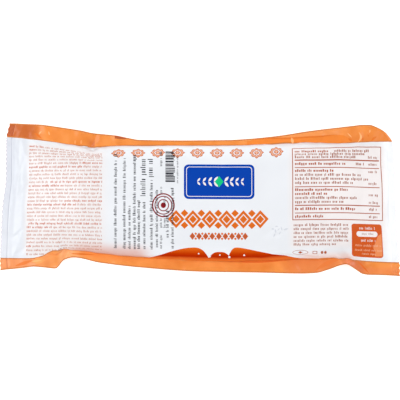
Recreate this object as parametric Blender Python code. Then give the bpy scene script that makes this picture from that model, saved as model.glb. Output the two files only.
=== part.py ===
"""A sealed flow-wrap pack of smoked cheese, lying on its back with the printed front up.

A loaf of cheese fills the middle of a tube of film. The tube is crimped flat across both ends, and
its edges lie out beside the loaf as a narrow fin. One corner of the film is rolled under.

Metres, +Z up, X along the pack, the front's upper edge towards +Y. The pack rests on z = 0.
"""

import math

import bmesh
import bpy
import numpy as np

MM = 0.001

# Driving sizes. The film is two layers thick where it lies flat, and the belly is pressed flat
# where it would reach below the surface that the pack lies on.
PACK_LENGTH = 379 * MM
FILM = 0.8 * MM
BELLY_PRESS = 1.6 * MM

# The mesh: cells along the pack, across it and across each fin. The cells lie closer together
# towards the pack's ends, and towards the loaf's sides.
CELLS_ALONG = 92
CELLS_ACROSS = 40
FIN_CELLS = 3
END_CROWDING = 0.7
SIDE_CROWDING = 0.5
LOAF_SHARE = 1 - 2 * FIN_CELLS / CELLS_ACROSS

# Outline of the pack seen from above: (x, y) in mm, from the left end to the right
UPPER_EDGE = (
    (-190, 72.4), (-176, 72.2), (-165, 71.6), (-153, 71.1), (-142, 69.8), (-130, 68.0), (-113, 65.3),
    (-108, 64.2), (-102, 62.9), (-80, 60.6), (-68, 58.2), (-57, 56.4), (-15, 55.9), (12, 56.1),
    (28, 56.3), (41, 57.0), (58, 58.4), (76, 60.4), (86, 61.9), (98, 63.9), (115, 66.2), (133, 68.3),
    (144, 69.6), (156, 70.8), (162, 70.8), (168, 68.9), (175, 65.7), (182, 62.6), (190, 60.5),
)
LOWER_EDGE = (
    (-190, -67.6), (-166, -65.0), (-158, -64.0), (-150, -64.6), (-137, -65.9), (-129, -57.6),
    (-120, -55.3), (-95, -60.2), (-57, -64.7), (0, -68.7), (57, -69.7), (98, -70.6), (112, -69.8),
    (122, -66.9), (139, -61.9), (148, -66.6), (155, -71.0), (161, -71.9), (172, -72.1), (190, -73.1),
)
# How far each end's cut edge stands in from the pack's box: (share of the way across, mm)
LEFT_CUT = ((-1.0, -0.5), (-0.8, -1.0), (-0.15, 0.8), (0.25, 4.6), (0.8, 4.8), (1.0, 8.4))
RIGHT_CUT = ((-1.0, -1.3), (-0.7, -0.8), (-0.4, 0.9), (-0.2, 2.1), (0.3, 3.3), (0.7, 4.6), (1.0, 5.6))

# Along the pack, in mm: how far the front's crown stands over the edges, how high the edges lie, and
# the share by which a section is a full loaf and not a thin lens
CROWN = (
    (-190, 0.0), (-181, 0.0), (-165, 3.0), (-145, 8.8), (-125, 15.6), (-105, 19.6), (-75, 21.4),
    (-20, 22.0), (60, 22.0), (100, 21.2), (122, 18.2), (140, 12.6), (158, 6.4), (175, 1.6),
    (181, 0.0), (190, 0.0),
)
EDGE_HEIGHT = (
    (-190, 9.6), (-165, 10.6), (-135, 13.0), (-110, 14.0), (110, 14.0), (145, 12.6), (170, 11.2),
    (190, 10.6),
)
FULLNESS = ((-190, 0.0), (-165, 0.05), (-110, 1.0), (118, 1.0), (165, 0.1), (190, 0.0))

# The loaf's section: how square its top is, and how steep its sides are. Where the pack is fuller
# than the first share of BELLY_FULLNESS, the underside starts to bulge, and at the second it is flat.
LENS_SQUARENESS = 2.0
FRONT_SHAPE = (3.3, 1.9)
BELLY_SHAPE = (7.0, 2.2)
BELLY_FULLNESS = (0.02, 0.75)

# Width of the flat fin of film outside the loaf, along each edge: (x, mm)
UPPER_FIN = (
    (-190, 13.2), (-182, 13.2), (-170, 13.8), (-151, 15.0), (-132, 15.1), (-113, 14.7), (-100, 13.8),
    (-94, 12.5), (-80, 10.3), (-68, 7.6), (-57, 5.7), (-18, 5.1), (10, 5.2), (39, 5.9), (58, 6.5),
    (67, 7.2), (80, 8.5), (96, 10.2), (124, 14.0), (143, 16.0), (155, 16.8), (162, 16.1), (168, 14.4),
    (175, 11.5), (182, 8.0), (190, 5.4),
)
LOWER_FIN = (
    (-190, 11), (-160, 8.5), (-140, 13.5), (-129, 10), (-121, 6.8), (-95, 8.4), (-57, 9.8), (-38, 10.5),
    (24, 10.3), (60, 11.6), (95, 13.6), (124, 10.2), (138, 5.4), (145, 6.6), (154, 11.5), (190, 12.4),
)

# The rolled corner: the middle and radius of the arc where the film starts to turn down, and its bend
CORNER_MIDDLE = (161.5 * MM, 49.1 * MM)
CORNER_RADIUS = 17.0 * MM
CORNER_BEND = 4.1 * MM
CORNER_EASE = 0.6
LEAST_DIAGONAL = 0.02

# Folds of the film: middle (x, y), direction in degrees, half length, half width and height, in mm.
# A negative height is a furrow.
FOLDS = (
    (-101, 56, 62, 15, 3.2, -2.0),
    (-146, -58, 20, 17, 4.2, 2.4),
    (-128, -55, 68, 10, 3.0, -2.6),
    (140, -57, -62, 12, 4.0, -3.4),
    (152, -64, 24, 14, 3.6, 1.6),
    (118, 62, 14, 20, 3.0, 1.4),
    (-84, -53, -7, 30, 3.0, -1.2),
    (66, -30, 40, 9, 4.0, -0.9),
)

FRONT_COLOUR = (0.90, 0.91, 0.94, 1.0)


def smooth_curve(x, stations, unit=MM):
    """A smooth curve through (place, value) stations, by cubic pieces whose slopes don't overshoot."""
    places, values = np.array(stations, float).T
    gaps = np.diff(places)
    rises = np.diff(values) / gaps
    slopes = np.zeros(len(places))
    slopes[1:-1] = np.where(
        rises[:-1] * rises[1:] > 0,
        2 * rises[:-1] * rises[1:] / (rises[:-1] + rises[1:] + 1e-12),
        0,
    )
    slopes[0], slopes[-1] = rises[0], rises[-1]
    x = np.clip(np.asarray(x, float), places[0], places[-1])
    i = np.clip(np.searchsorted(places, x, side="right") - 1, 0, len(gaps) - 1)
    t = (x - places[i]) / gaps[i]
    value = (
        values[i] * (1 + 2 * t) * (1 - t) ** 2
        + values[i + 1] * t**2 * (3 - 2 * t)
        + gaps[i] * (slopes[i] * t * (1 - t) ** 2 - slopes[i + 1] * t**2 * (1 - t))
    )
    return value * unit


def smooth_step(x, start, end):
    t = np.clip((x - start) / (end - start), 0, 1)
    return t * t * (3 - 2 * t)


def film_place(along, across):
    """Where a point of the film lies seen from above, and its share of the way from the loaf's middle
    to its side, which is 1 on the fins. along and across run from -1 to 1."""
    half = PACK_LENGTH / 2
    left = -half + smooth_curve(across, LEFT_CUT)
    right = half - smooth_curve(across, RIGHT_CUT)
    x = left + (along + 1) / 2 * (right - left)
    upper, lower = smooth_curve(x / MM, UPPER_EDGE), smooth_curve(x / MM, LOWER_EDGE)
    upper_fin, lower_fin = smooth_curve(x / MM, UPPER_FIN), smooth_curve(x / MM, LOWER_FIN)
    middle = (upper - upper_fin + lower + lower_fin) / 2
    reach = (upper - upper_fin - lower - lower_fin) / 2
    share = np.clip(across / LOAF_SHARE, -1, 1)
    offset = (1 - SIDE_CROWDING) * share + SIDE_CROWDING * np.sin(share * math.pi / 2)
    out = np.clip((np.abs(across) - LOAF_SHARE) / (1 - LOAF_SHARE), 0, 1)
    y = middle + reach * offset + out * np.where(across > 0, upper_fin, -lower_fin)
    return x, y, np.abs(offset)


def dome(offset, full, shape):
    """The height of a section's bulge, from 0 at the fins to 1 at the middle: a thin lens at the
    pack's ends, a loaf with round shoulders between them."""
    squareness, steepness = shape
    power = LENS_SQUARENESS + (squareness - LENS_SQUARENESS) * full
    return (1 - np.clip(offset, 0, 1) ** power) ** (1 / (1 + (steepness - 1) * full))


def folds(x, y):
    """The height of the film's folds and furrows at a place."""
    height = np.zeros_like(x)
    for middle_x, middle_y, degrees, length, width, rise in FOLDS:
        turn = math.radians(degrees)
        dx, dy = x - middle_x * MM, y - middle_y * MM
        ahead = (dx * math.cos(turn) + dy * math.sin(turn)) / (length * MM)
        aside = (dy * math.cos(turn) - dx * math.sin(turn)) / (width * MM)
        height += rise * MM * np.exp(-(ahead**4) - aside**2)
    return height


def roll_corner(x, y, z, off):
    """Turns the film down and under past the corner's arc. off is a point's height over the edges' plane."""
    dx, dy = x - CORNER_MIDDLE[0], y - CORNER_MIDDLE[1]
    distance = np.hypot(dx, dy)
    beyond = np.where((dx > 0) & (dy > 0), np.maximum(distance - CORNER_RADIUS, 0), 0)
    # The bend sets in only near the diagonal, so that both edges run into it smoothly.
    diagonal = np.sin(2 * np.arctan2(np.maximum(dy, 0), np.maximum(dx, 1e-9)))
    bend = CORNER_BEND / np.clip(diagonal**CORNER_EASE, LEAST_DIAGONAL, 1)
    angle = beyond / bend
    outward = (bend + off) * np.sin(angle) - beyond
    scale = outward / np.maximum(distance, 1e-9)
    return x + dx * scale, y + dy * scale, z - bend * (1 - np.cos(angle)) + off * np.cos(angle)


def film_surface(along, across, front):
    """The pack's outer surface, as (n, 3) points. front is True on the upper layer of film."""
    x, y, offset = film_place(along, across)
    full = smooth_curve(x / MM, FULLNESS, 1)
    middle = smooth_curve(x / MM, EDGE_HEIGHT) + folds(x, y)
    over = FILM / 2 + smooth_curve(x / MM, CROWN) * dome(offset, full, FRONT_SHAPE)
    depth = (middle + BELLY_PRESS) * smooth_step(full, *BELLY_FULLNESS)
    under = -FILM / 2 - depth * dome(offset, full, BELLY_SHAPE)
    under = np.maximum(under, np.minimum(-middle, -FILM / 2))
    x, y, z = roll_corner(x, y, middle, np.where(front, over, under))
    return np.stack([x, y, z], axis=-1)


def new_film_material():
    """White printed film: smooth plastic with a soft shine."""
    material = bpy.data.materials.new("printed_film")
    material.use_nodes = True
    shader = material.node_tree.nodes["Principled BSDF"]
    shader.inputs["Base Color"].default_value = FRONT_COLOUR
    shader.inputs["Roughness"].default_value = 0.38
    shader.inputs["Metallic"].default_value = 0.0
    return material


def crowd_to_ends(along):
    """Moves evenly spaced stations closer together towards both ends."""
    return along + END_CROWDING * np.sin(np.pi * along) / np.pi


def make_pack(collection):
    """A thin flat slab of film, blown up into the pack."""
    mesh = bpy.data.meshes.new("film_pack")
    slab = bmesh.new()
    bmesh.ops.create_grid(slab, x_segments=CELLS_ALONG, y_segments=CELLS_ACROSS, size=1.0)
    flat = slab.faces[:]
    grown = bmesh.ops.extrude_face_region(slab, geom=flat, use_keep_orig=True)
    front = [v for v in grown["geom"] if isinstance(v, bmesh.types.BMVert)]
    bmesh.ops.translate(slab, verts=front, vec=(0, 0, 1))
    bmesh.ops.recalc_face_normals(slab, faces=slab.faces[:])
    at = np.array([v.co for v in slab.verts])
    points = film_surface(crowd_to_ends(at[:, 0]), at[:, 1], at[:, 2] > 0.5)
    points[:, :2] -= (points[:, :2].max(axis=0) + points[:, :2].min(axis=0)) / 2
    for vertex, point in zip(slab.verts, points):
        vertex.co = point
    bmesh.ops.triangulate(slab, faces=slab.faces[:])
    slab.to_mesh(mesh)
    slab.free()
    mesh.materials.append(new_film_material())
    mesh.shade_smooth()
    mesh.set_sharp_from_angle(angle=math.radians(50))
    pack = bpy.data.objects.new("film_pack", mesh)
    collection.objects.link(pack)
    return pack


def main():
    for old in list(bpy.data.objects):
        bpy.data.objects.remove(old)
    collection = bpy.data.collections.new("smoked_cheese_pack")
    bpy.context.scene.collection.children.link(collection)
    make_pack(collection)


main()
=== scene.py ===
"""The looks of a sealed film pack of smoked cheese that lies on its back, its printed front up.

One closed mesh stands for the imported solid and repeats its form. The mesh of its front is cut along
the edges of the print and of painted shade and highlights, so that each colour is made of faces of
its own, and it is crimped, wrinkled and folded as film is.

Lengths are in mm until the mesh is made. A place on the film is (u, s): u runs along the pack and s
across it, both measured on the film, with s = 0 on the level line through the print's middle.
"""

import math

import bpy
import numpy as np
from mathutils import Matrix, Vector
from mathutils.geometry import delaunay_2d_cdt


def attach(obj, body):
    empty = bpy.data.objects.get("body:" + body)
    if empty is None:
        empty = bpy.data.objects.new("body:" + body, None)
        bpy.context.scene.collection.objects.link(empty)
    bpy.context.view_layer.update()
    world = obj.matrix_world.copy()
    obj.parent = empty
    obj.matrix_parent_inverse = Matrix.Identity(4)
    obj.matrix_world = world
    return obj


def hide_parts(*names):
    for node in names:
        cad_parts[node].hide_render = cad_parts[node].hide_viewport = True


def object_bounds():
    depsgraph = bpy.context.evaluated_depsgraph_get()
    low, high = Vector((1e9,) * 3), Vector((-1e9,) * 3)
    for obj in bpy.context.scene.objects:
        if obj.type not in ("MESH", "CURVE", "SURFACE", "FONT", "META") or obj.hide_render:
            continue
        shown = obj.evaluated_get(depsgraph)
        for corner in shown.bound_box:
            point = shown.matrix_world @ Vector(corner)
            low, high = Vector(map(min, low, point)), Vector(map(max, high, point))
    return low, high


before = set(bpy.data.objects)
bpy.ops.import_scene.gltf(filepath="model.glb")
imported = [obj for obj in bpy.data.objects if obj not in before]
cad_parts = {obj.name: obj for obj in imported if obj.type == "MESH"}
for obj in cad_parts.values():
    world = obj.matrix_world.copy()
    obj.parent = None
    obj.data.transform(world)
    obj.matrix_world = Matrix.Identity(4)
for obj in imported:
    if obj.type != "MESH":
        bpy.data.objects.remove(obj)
cad_low, cad_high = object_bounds()

MM = 0.001
HALF = 189.5

# The pack's form, as the solid has it: outline, heights and fins, each as (x, mm) from left to right.
FILM = 0.4
BELLY_PRESS = 1.6
FIN_SHARE = 0.15
SIDE_CROWDING = 0.5
UPPER_EDGE = (
    (-190, 72.4), (-176, 72.2), (-165, 71.6), (-153, 71.1), (-142, 69.8), (-130, 68.0), (-113, 65.3),
    (-108, 64.2), (-102, 62.9), (-80, 60.6), (-68, 58.2), (-57, 56.4), (-15, 55.9), (12, 56.1),
    (28, 56.3), (41, 57.0), (58, 58.4), (76, 60.4), (86, 61.9), (98, 63.9), (115, 66.2), (133, 68.3),
    (144, 69.6), (156, 70.8), (162, 70.8), (168, 68.9), (175, 65.7), (182, 62.6), (190, 60.5),
)
LOWER_EDGE = (
    (-190, -67.6), (-166, -65.0), (-158, -64.0), (-150, -64.6), (-137, -65.9), (-129, -57.6),
    (-120, -55.3), (-95, -60.2), (-57, -64.7), (0, -68.7), (57, -69.7), (98, -70.6), (112, -69.8),
    (122, -66.9), (139, -61.9), (148, -66.6), (155, -71.0), (161, -71.9), (172, -72.1), (190, -73.1),
)
LEFT_CUT = ((-1.0, -0.5), (-0.8, -1.0), (-0.15, 0.8), (0.25, 4.6), (0.8, 4.8), (1.0, 8.4))
RIGHT_CUT = ((-1.0, -1.3), (-0.7, -0.8), (-0.4, 0.9), (-0.2, 2.1), (0.3, 3.3), (0.7, 4.6), (1.0, 5.6))
CROWN = (
    (-190, 0.0), (-181, 0.0), (-165, 3.0), (-145, 8.8), (-125, 15.6), (-105, 19.6), (-75, 21.4),
    (-20, 22.0), (60, 22.0), (100, 21.2), (122, 18.2), (140, 12.6), (158, 6.4), (175, 1.6),
    (181, 0.0), (190, 0.0),
)
EDGE_HEIGHT = (
    (-190, 9.6), (-165, 10.6), (-135, 13.0), (-110, 14.0), (110, 14.0), (145, 12.6), (170, 11.2),
    (190, 10.6),
)
FULLNESS = ((-190, 0.0), (-165, 0.05), (-110, 1.0), (118, 1.0), (165, 0.1), (190, 0.0))
UPPER_FIN = (
    (-190, 13.2), (-182, 13.2), (-170, 13.8), (-151, 15.0), (-132, 15.1), (-113, 14.7), (-100, 13.8),
    (-94, 12.5), (-80, 10.3), (-68, 7.6), (-57, 5.7), (-18, 5.1), (10, 5.2), (39, 5.9), (58, 6.5),
    (67, 7.2), (80, 8.5), (96, 10.2), (124, 14.0), (143, 16.0), (155, 16.8), (162, 16.1), (168, 14.4),
    (175, 11.5), (182, 8.0), (190, 5.4),
)
LOWER_FIN = (
    (-190, 11), (-160, 8.5), (-140, 13.5), (-129, 10), (-121, 6.8), (-95, 8.4), (-57, 9.8), (-38, 10.5),
    (24, 10.3), (60, 11.6), (95, 13.6), (124, 10.2), (138, 5.4), (145, 6.6), (154, 11.5), (190, 12.4),
)
LENS_SQUARENESS = 2.0
FRONT_SHAPE = (3.3, 1.9)
BELLY_SHAPE = (7.0, 2.2)
BELLY_FULLNESS = (0.02, 0.75)
CORNER_MIDDLE = (161.5, 49.1)
CORNER_RADIUS = 17.0
CORNER_BEND = 4.1
CORNER_EASE = 0.6
LEAST_DIAGONAL = 0.02
# Folds of both layers: middle (x, y), direction in degrees, half length, half width, height
FOLDS = (
    (-101, 56, 62, 15, 3.2, -2.0), (-146, -58, 20, 17, 4.2, 2.4), (-128, -55, 68, 10, 3.0, -2.6),
    (140, -57, -62, 12, 4.0, -3.4), (152, -64, 24, 14, 3.6, 1.6), (118, 62, 14, 20, 3.0, 1.4),
    (-84, -53, -7, 30, 3.0, -1.2), (66, -30, 40, 9, 4.0, -0.9),
)

# The film on that form. The slant of the cut ends dies away inwards, the level line of the print is
# a little bent, and a tuck under the upper edge hides a strip of film: (place, mm)
LEAN_REACH = 36.0
LEVEL_LINE = (
    (-182, 0.1), (-159, 0.1), (-97, -0.7), (-80, -1.7), (-47, -2.6), (50, -3.1), (90, -1.4), (128, -1.1),
    (171, -2.2), (190, -2.6),
)
TUCK = (
    (-190, 0.0), (-158, 0.2), (-138, 1.6), (-120, 3.2), (-109, 4.9), (-100, 6.4), (-88, 4.6), (-76, 2.7),
    (-57, 1.2), (-30, 0.0), (190, 0.0),
)
TUCK_START, TUCK_END = 36.0, 57.0

# Where the white panel ends above and below: (u, s)
WHITE_TOP = (
    (-190, 59.1), (-181, 58.6), (-174, 58.2), (-164, 57.2), (-154, 56.9), (-142, 57.4), (-132, 59.0),
    (-121, 61.0), (-110, 64.1), (-105, 65.4), (-101, 65.1), (-98, 65.5), (-95, 65.4), (-85, 64.9),
    (-76, 64.5), (-57, 64.1), (-19, 63.2), (10, 63.6), (38, 63.7), (59, 64.1), (80, 64.5), (95, 63.5),
    (110, 62.8), (124, 61.0), (139, 57.8), (146, 57.2), (156, 56.6), (170, 56.8), (180, 57.0),
    (190, 57.3),
)
WHITE_BOTTOM = (
    (-190, -55.8), (-161, -56.2), (-149, -54.3), (-144, -51.5), (-138, -49.2), (-131, -50.0),
    (-121, -54.1), (-109, -55.3), (-94, -56.6), (-75, -58.4), (-57, -59.4), (-38, -60.2), (0, -61.6),
    (24, -61.6), (59, -60.4), (95, -60.8), (123, -58.7), (138, -59.7), (145, -58.0), (154, -57.0),
    (190, -57.4),
)

# The crimped ends: the strip's width, its ribs, the groove at its inner border, and the teeth of the
# cut edge
CRIMP_WIDTH = 6.6
RIB_PITCH = 1.27
RIB_HEIGHT = 0.13
GROOVE_WIDTH = 0.5
GROOVE_DEPTH = 0.3
TEETH = 33
TOOTH_DEPTH = 1.0

# The mesh: the widest cells along the front and the back, and those of the crimps; the cells across
# each fin and across the loaf, and how far they crowd on its sides; the longest step of a printed edge
FRONT_CELL = 1.7
BACK_CELL = 1.5 * FRONT_CELL
CRIMP_CELL = RIB_PITCH / 4
FIN_CELLS = 8
FRONT_ROWS = 96
BACK_ROWS = 54
ROW_CROWDING = 0.45
EDGE_STEP = 1.6


def smooth_curve(x, stations):
    """A smooth curve through (place, value) stations, by cubic pieces whose slopes don't overshoot."""
    places, values = np.array(stations, float).T
    gaps = np.diff(places)
    rises = np.diff(values) / gaps
    slopes = np.zeros(len(places))
    slopes[1:-1] = np.where(
        rises[:-1] * rises[1:] > 0,
        2 * rises[:-1] * rises[1:] / (rises[:-1] + rises[1:] + 1e-12),
        0,
    )
    slopes[0], slopes[-1] = rises[0], rises[-1]
    x = np.clip(np.asarray(x, float), places[0], places[-1])
    i = np.clip(np.searchsorted(places, x, side="right") - 1, 0, len(gaps) - 1)
    t = (x - places[i]) / gaps[i]
    return (
        values[i] * (1 + 2 * t) * (1 - t) ** 2
        + values[i + 1] * t**2 * (3 - 2 * t)
        + gaps[i] * (slopes[i] * t * (1 - t) ** 2 - slopes[i + 1] * t**2 * (1 - t))
    )


def smooth_step(x, start, end):
    t = np.clip((x - start) / (end - start), 0, 1)
    return t * t * (3 - 2 * t)


# ---- the pack's form

def fin_share(across):
    """0 on the loaf, and from 0 to 1 over the fin beside it."""
    return np.clip((np.abs(across) - 1 + FIN_SHARE) / FIN_SHARE, 0, 1)


def section_place(x, across):
    """y of a place in a section, and its share of the way from the loaf's middle to its side."""
    upper, lower = smooth_curve(x, UPPER_EDGE), smooth_curve(x, LOWER_EDGE)
    upper_fin, lower_fin = smooth_curve(x, UPPER_FIN), smooth_curve(x, LOWER_FIN)
    middle = (upper - upper_fin + lower + lower_fin) / 2
    reach = (upper - upper_fin - lower - lower_fin) / 2
    share = np.clip(across / (1 - FIN_SHARE), -1, 1)
    offset = (1 - SIDE_CROWDING) * share + SIDE_CROWDING * np.sin(share * math.pi / 2)
    out = fin_share(across) * np.where(across > 0, upper_fin, -lower_fin)
    return middle + reach * offset + out, np.abs(offset)


def dome(offset, full, shape):
    squareness, steepness = shape
    power = LENS_SQUARENESS + (squareness - LENS_SQUARENESS) * full
    return (1 - np.clip(offset, 0, 1) ** power) ** (1 / (1 + (steepness - 1) * full))


def soft_folds(a, b, rows):
    """Soft folds added up: each row is its middle, direction, half length, half width and height."""
    height = np.zeros(np.shape(a))
    for middle_a, middle_b, degrees, length, width, rise in rows:
        turn = math.radians(degrees)
        da, db = a - middle_a, b - middle_b
        ahead = (da * math.cos(turn) + db * math.sin(turn)) / length
        aside = (db * math.cos(turn) - da * math.sin(turn)) / width
        height += rise * np.exp(-(ahead**4) - aside**2)
    return height


def layer(x, y, offset, front):
    """The height of the edges' plane, and of the front or the back over it."""
    full = smooth_curve(x, FULLNESS)
    middle = smooth_curve(x, EDGE_HEIGHT) + soft_folds(x, y, FOLDS)
    if front:
        return middle, FILM / 2 + smooth_curve(x, CROWN) * dome(offset, full, FRONT_SHAPE)
    depth = (middle + BELLY_PRESS) * smooth_step(full, *BELLY_FULLNESS)
    under = -FILM / 2 - depth * dome(offset, full, BELLY_SHAPE)
    return middle, np.maximum(under, np.minimum(-middle, -FILM / 2))


def layer_gap(x, y, offset):
    """How far apart the front and the back lie."""
    return layer(x, y, offset, True)[1] - layer(x, y, offset, False)[1]


def roll_corner(x, y, z, off):
    """Turns the film down and under past the corner's arc."""
    dx, dy = x - CORNER_MIDDLE[0], y - CORNER_MIDDLE[1]
    distance = np.hypot(dx, dy)
    beyond = np.where((dx > 0) & (dy > 0), np.maximum(distance - CORNER_RADIUS, 0), 0)
    diagonal = np.sin(2 * np.arctan2(np.maximum(dy, 0), np.maximum(dx, 1e-9)))
    bend = CORNER_BEND / np.clip(diagonal**CORNER_EASE, LEAST_DIAGONAL, 1)
    angle = beyond / bend
    scale = ((bend + off) * np.sin(angle) - beyond) / np.maximum(distance, 1e-9)
    height = z - bend * (1 - np.cos(angle)) + off * np.cos(angle)
    return np.stack([x + dx * scale, y + dy * scale, height], axis=-1)


# ---- places on the film

def places_across(fin_cells, loaf_cells, crowding):
    """Places across the film, crowded on the loaf's sides, with one on each fin's inner line."""
    loaf = 1 - FIN_SHARE
    fin = np.linspace(loaf, 1, fin_cells + 1)
    inner = np.linspace(-1, 1, loaf_cells + 1)
    inner = loaf * (crowding * np.sin(inner * math.pi / 2) + (1 - crowding) * inner)
    return np.concatenate([-fin[:0:-1], inner, fin[1:]])


ARC_X = np.arange(-HALF - 1, HALF + 1.5, 1.0)
ARC_ACROSS = places_across(29, 600, 1.0)


def arc_table():
    """For each section, the length of film from the level line to each sample."""
    x, across = np.meshgrid(ARC_X, ARC_ACROSS, indexing="ij")
    y, offset = section_place(x, across)
    middle, off = layer(x, y, offset, True)
    steps = np.hypot(np.diff(y, axis=1), np.diff(middle + off, axis=1))
    arcs = np.concatenate([np.zeros((len(ARC_X), 1)), np.cumsum(steps, axis=1)], axis=1)
    level = smooth_curve(ARC_X, LEVEL_LINE)
    return np.array([arc - np.interp(at, line, arc) for arc, line, at in zip(arcs, y, level)])


ARCS = arc_table()
ARC_SHARES = np.linspace(0, 1, 801)
ACROSS_TABLE = np.array([np.interp(ARC_SHARES, (a - a[0]) / (a[-1] - a[0]), ARC_ACROSS) for a in ARCS])


def look_up(table, column, row):
    """Values of a table between its columns and rows."""
    column = np.clip(column, 0, table.shape[0] - 1.001)
    row = np.clip(row, 0, table.shape[1] - 1.001)
    i, j = column.astype(int), row.astype(int)
    a, b = column - i, row - j
    near = table[i, j] * (1 - b) + table[i, j + 1] * b
    far = table[i + 1, j] * (1 - b) + table[i + 1, j + 1] * b
    return near * (1 - a) + far * a


def lean(u, across):
    """How far the slant of the ends moves the film along the pack."""
    left = smooth_curve(across, LEFT_CUT) * np.exp(-(u + HALF) / LEAN_REACH)
    right = smooth_curve(across, RIGHT_CUT) * np.exp(-(HALF - u) / LEAN_REACH)
    return left - right


def across_of(u, s):
    """The share of the way across at which a place of the film lies."""
    hidden = smooth_curve(u, TUCK) * np.clip((s - TUCK_START) / (TUCK_END - TUCK_START), 0, 1)
    across = np.clip(s / TUCK_END, -1, 1)
    for _ in range(5):
        x = u + lean(u, across)
        low, high = np.interp(x, ARC_X, ARCS[:, 0]), np.interp(x, ARC_X, ARCS[:, -1])
        share = np.clip((s - hidden - low) / (high - low), 0, 1)
        across = look_up(ACROSS_TABLE, x - ARC_X[0], share * (len(ARC_SHARES) - 1))
    return across


def s_of(u, across):
    """How far from the level line a place of the film lies."""
    row = np.interp(across, ARC_ACROSS, np.arange(len(ARC_ACROSS)))
    arc = look_up(ARCS, u + lean(u, across) - ARC_X[0], row)
    tuck = smooth_curve(u, TUCK)
    shown = TUCK_END - TUCK_START - tuck
    return arc + tuck * np.clip((arc - TUCK_START) / shown, 0, 1)


def place_of(u, across):
    """x, y and the share of the way to the loaf's side at which a place of the film lies."""
    x = u + lean(u, across)
    return x, *section_place(x, across)


# ---- wrinkles

def ripples(a, b, wave, seed, heading=0.0, spread=math.pi, count=9):
    """Rounded ripples from about -1 to 1 over a plane. Their crests lie across the heading."""
    draw = np.random.RandomState(seed)
    total = np.zeros(np.shape(a))
    for _ in range(count):
        turn = heading + spread * (draw.rand() - 0.5)
        pace = 2 * math.pi / (wave * draw.uniform(0.7, 1.4))
        total += np.sin(pace * (a * math.cos(turn) + b * math.sin(turn)) + draw.uniform(0, 2 * math.pi))
    return total / math.sqrt(2 * count)


def ridges(a, b, wave, seed, sharp=0.22, **shape):
    """Thin winding ridges, 1 on their crests and 0 between them."""
    return np.exp(-((ripples(a, b, wave, seed, **shape) / sharp) ** 2))


def waves(a, b, rows, where):
    """Ripples and ridges added up. Each row names the part of the film that it is for."""
    height = 0.0
    for part, form, rise, wave, seed, heading, spread in rows:
        height = height + rise * where[part] * form(a, b, wave, seed, heading=heading, spread=spread)
    return height


def crimp(u):
    """Ribs along the sealed ends, and the line pressed at their inner border."""
    inward = HALF - np.abs(u)
    ribs = np.cos(2 * math.pi * inward / RIB_PITCH) * smooth_step(inward, CRIMP_WIDTH, CRIMP_WIDTH - 0.6)
    groove = np.exp(-(((inward - CRIMP_WIDTH) / GROOVE_WIDTH - 1) ** 2))
    return RIB_HEIGHT * ribs - GROOVE_DEPTH * groove


# Waves of both layers together: the part of the film, the form, its height, its length, the seed, the
# heading across which its crests lie, and how far the headings spread. From the pack's middle: where
# the end and the tip start, and where they are full
END = (150, HALF)
TIP = (172, 184)
CROSSWISE = math.pi / 2
LIFT_WAVES = (
    ("end", ripples, 0.9, 46, 3, CROSSWISE, 0.7),
    ("tip", ripples, 0.5, 17, 5, CROSSWISE, 0.5),
    ("fin", ripples, 0.55, 15, 7, 0.0, 1.6),
    ("whole fin", ridges, 0.5, 26, 11, 0.0, 1.8),
)


def shared_lift(u, across, x, y):
    """How far both layers together leave the edges' plane: crimps, wavy ends and rippled fins."""
    end, fin = smooth_step(np.abs(u), *END), fin_share(across)
    tip = smooth_step(np.abs(u), *TIP)
    where = {"end": end, "tip": tip, "fin": fin * (1 - 0.6 * end), "whole fin": fin}
    return crimp(u) + waves(x, y, LIFT_WAVES, where)


# The deepest furrow, as a share of the gap between the two layers
FURROW_SHARE = 0.45
# Creases of the front alone: middle (u, s), direction in degrees, half length, half width, height
CREASES = (
    (-176, 10, 88, 62, 1.5, -0.45), (-170, -8, 91, 50, 2.2, 0.5), (-164, 20, 84, 30, 2.0, -0.35),
    (-172, -42, 70, 16, 1.6, 0.5), (-168, -48, 60, 13, 1.5, -0.5), (-171, 10, 60, 9, 1.3, 0.7),
    (-166.5, -12, 96, 12, 1.3, -0.9), (-172, -32, 40, 6, 1.1, -0.8), (-173, 28, 75, 14, 1.3, -0.7),
    (-169, 46, 110, 9, 1.2, 0.7), (-172, -51, 40, 7, 1.1, -0.7), (-160, 62, -8, 24, 1.6, 0.5),
    (-110, 62, -20, 12, 1.8, -0.8), (-99, 62, 56, 9, 1.8, -1.3), (75, -31, 20, 6, 1.6, -0.9),
    (79, -29, 70, 5, 1.0, 0.6), (70, -36, 60, 4, 1.2, -0.5), (-75, 68, -8, 6, 0.9, -0.6),
    (62, -53, 12, 10, 1.4, 0.6), (92, -56, -4, 24, 1.6, -0.7), (155, 62, 100, 5, 1.4, 0.8),
    (164, 64, 50, 5, 1.0, -0.8), (138, 64, 66, 5, 1.2, 0.9), (172, 40, 84, 20, 1.6, 0.35),
    (176, -4, 94, 40, 1.8, -0.4), (181, 18, 88, 44, 1.3, 0.35), (90, 62, 6, 30, 1.2, 0.5),
    (140, -40, 64, 22, 2.4, 0.35),
)
# Waves of the front alone, in rows of the same kind. Inwards from the cut end: where the near end starts
# and is full, and the pucker's middle and width. By s: where the flank starts and is full
NEAR_END = (70, 14)
PUCKER, PUCKER_WIDTH = CRIMP_WIDTH + 6, 7
FLANK = (44, 56)
FRONT_WAVES = (
    ("loaf", ripples, 0.34, 44, 21, 0.0, math.pi),
    ("loaf", ripples, 0.10, 14, 22, 0.0, math.pi),
    ("near end", ripples, 0.40, 17, 23, 0.0, 0.9),
    ("near end", ridges, 0.30, 34, 24, 0.0, 1.2),
    ("pucker", ripples, 0.22, 7.5, 25, CROSSWISE, 0.35),
    ("flank", ripples, 0.10, 12, 26, 0.0, 1.2),
    ("flank", ridges, 0.16, 30, 27, 0.0, 2.2),
)


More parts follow.
